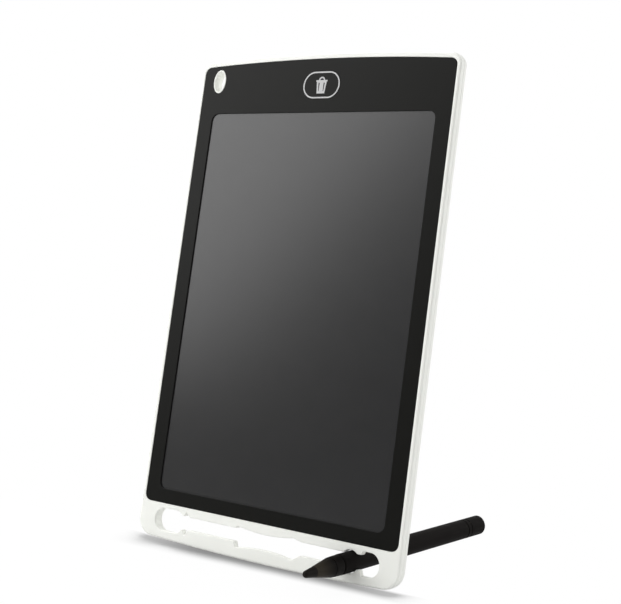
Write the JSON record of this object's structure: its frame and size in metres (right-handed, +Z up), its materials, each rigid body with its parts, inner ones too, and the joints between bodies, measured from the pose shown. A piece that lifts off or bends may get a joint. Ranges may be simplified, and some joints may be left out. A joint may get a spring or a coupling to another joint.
{
  "type": "lcd writing tablet",
  "caption": "flat leaning slate with a white rim, black bezel and grey pressure-sensitive sheet, erased by one key and propped on its stylus through the pen slot",
  "frame": {"origin": "on the floor, under the middle of the whole as it stands: half way across the case, and half way from the stylus's tip in front to its tail behind", "axes": "+Z up, X across the case with the loop hole at -X, -Y the way the writing sheet faces, leaning back 12.9 degrees"},
  "size_m": [0.144, 0.1198, 0.2229],
  "materials": {
    "white_abs": "injection-moulded ABS, fine satin texture",
    "black_panel": "printed acrylic panel, satin hard coat",
    "lcd_sheet": "liquid-crystal film under a satin polyester skin",
    "black_sheet": "die-cut black polyester sheet",
    "adhesive": "acrylic foam tape",
    "polyimide": "flexible copper on polyimide",
    "black_key": "moulded ABS, satin",
    "white_ink": "pad-printed ink",
    "silicone": "moulded silicone rubber",
    "switch_black": "moulded nylon",
    "switch_white": "moulded nylon",
    "laminate": "glass-epoxy board with solder mask",
    "chip_epoxy": "moulded epoxy",
    "chip_parts": "ceramic and ferrite",
    "steel": "nickel-plated steel",
    "black_pen": "injection-moulded ABS, satin"
  },
  "bodies": {
    "tablet": {"front_frame": "white_abs", "rear_cover": "white_abs", "front_panel": "black_panel", "panel_tape": "adhesive", "lcd_film": "lcd_sheet", "backing_sheet": "black_sheet", "film_tail": "polyimide", "tact_switch": "switch_black", "circuit_board": "laminate", "controller_chip": "chip_epoxy", "board_parts": "chip_parts", "board_screws": "steel", "coin_cell": "steel", "cell_contact_top": "steel", "cell_contact_side": "steel"},
    "key": {"erase_key": "black_key", "key_print": "white_ink", "key_pad": "silicone"},
    "plunger": {"switch_plunger": "switch_white"},
    "door": {"battery_door": "white_abs", "door_screw": "steel"},
    "stylus": {"pen_nose": "black_pen", "pen_barrel": "black_pen", "pen_cap": "black_pen"}
  },
  "joints": [
    {"name": "key_press", "type": "slide", "parent": "tablet", "child": "key", "axis": [0, 0.9748, -0.2233], "range_m": [0, 0.0003], "stiffness_N_per_m": 4000},
    {"name": "plunger_press", "type": "slide", "parent": "tablet", "child": "plunger", "axis": [0, 0.9748, -0.2233], "range_m": [0, 0.0003]},
    {"name": "door_off", "type": "slide", "parent": "tablet", "child": "door", "axis": [0, 0.9748, -0.2233], "range_m": [0, 0.012]},
    {"name": "pen_pull", "type": "slide", "parent": "tablet", "child": "stylus", "axis": [-0.0974, -0.9934, 0.0607], "range_m": [0, 0.1]}
  ],
  "couplings": [
    {"joint": "plunger_press", "follows": "key_press", "ratio": 1}
  ]
}
